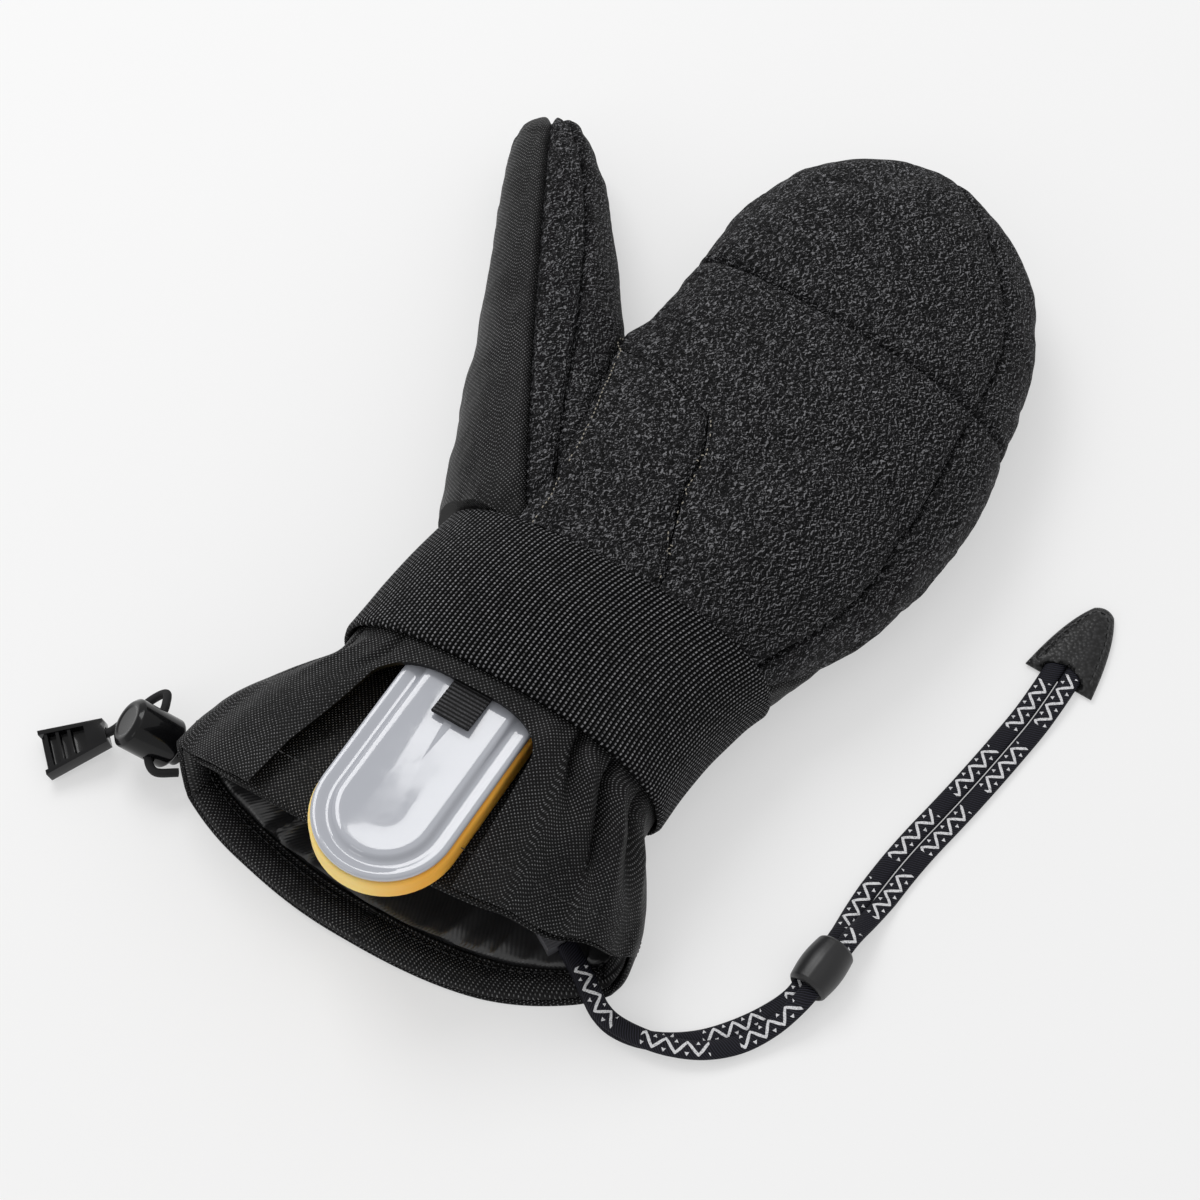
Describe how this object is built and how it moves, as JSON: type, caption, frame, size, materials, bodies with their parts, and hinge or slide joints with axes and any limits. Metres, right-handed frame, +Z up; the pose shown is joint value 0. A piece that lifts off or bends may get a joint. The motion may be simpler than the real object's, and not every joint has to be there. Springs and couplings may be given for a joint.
{
  "type": "padded snow mitten",
  "caption": "Padded left snow mitten with a grip palm, webbing wrist strap, wrist guard in a cuff pocket, cord lock and cord leash.",
  "frame": {"origin": "on the underside of the wrist strap, at the middle of the wrist, on the surface that the mitten lies on", "axes": "+Y from the wrist to the fingertips, +X to the little-finger side, +Z up out of the palm"},
  "size_m": [0.2595, 0.3172, 0.0596],
  "materials": {
    "grip_cloth": "textured matt",
    "woven_shell": "plain woven",
    "webbing": "ribbed webbing",
    "satin_lining": "satin",
    "guard_foam": "soft closed foam",
    "guard_plate": "glossy",
    "guard_tape": "ribbed tape",
    "lock_plastic": "glossy",
    "lock_cord": "braided",
    "tab_tape": "ribbed tape",
    "leash_cord": "woven",
    "bead_plastic": "satin",
    "tip_leather": "pebbled"
  },
  "bodies": {
    "mitten": {"thenar_patch": "grip_cloth", "side_gusset_tip": "grip_cloth", "side_gusset": "grip_cloth", "fingertip_panel": "grip_cloth", "palm_panel": "grip_cloth", "back_shell": "woven_shell", "thumb_woven_strip": "woven_shell", "thumb_front_strip": "grip_cloth", "thumb_inner_strip": "grip_cloth", "thumb_under_strip": "woven_shell", "wrist_strap": "webbing", "gauntlet": "woven_shell", "pocket_base": "woven_shell", "cuff_hem": "woven_shell", "cuff_lining": "satin_lining", "splint_foam": "guard_foam", "splint_plate": "guard_plate", "splint_tab": "guard_tape", "cord_lock_barrel": "lock_plastic", "drawcord": "lock_cord", "cord_end_clip": "lock_plastic", "leash_anchor_tab": "tab_tape", "leash_strand_a": "leash_cord", "leash_strand_b": "leash_cord", "leash_bead": "bead_plastic", "leash_tip": "tip_leather"},
    "lock_button": {"cord_lock_plunger": "lock_plastic"}
  },
  "joints": [
    {"name": "lock_button_slide", "type": "slide", "parent": "mitten", "child": "lock_button", "axis": [-0.7171, -0.264, 0.6451], "range_m": [0, 0.0025], "stiffness_N_per_m": 400, "springref_m": -0.001}
  ]
}
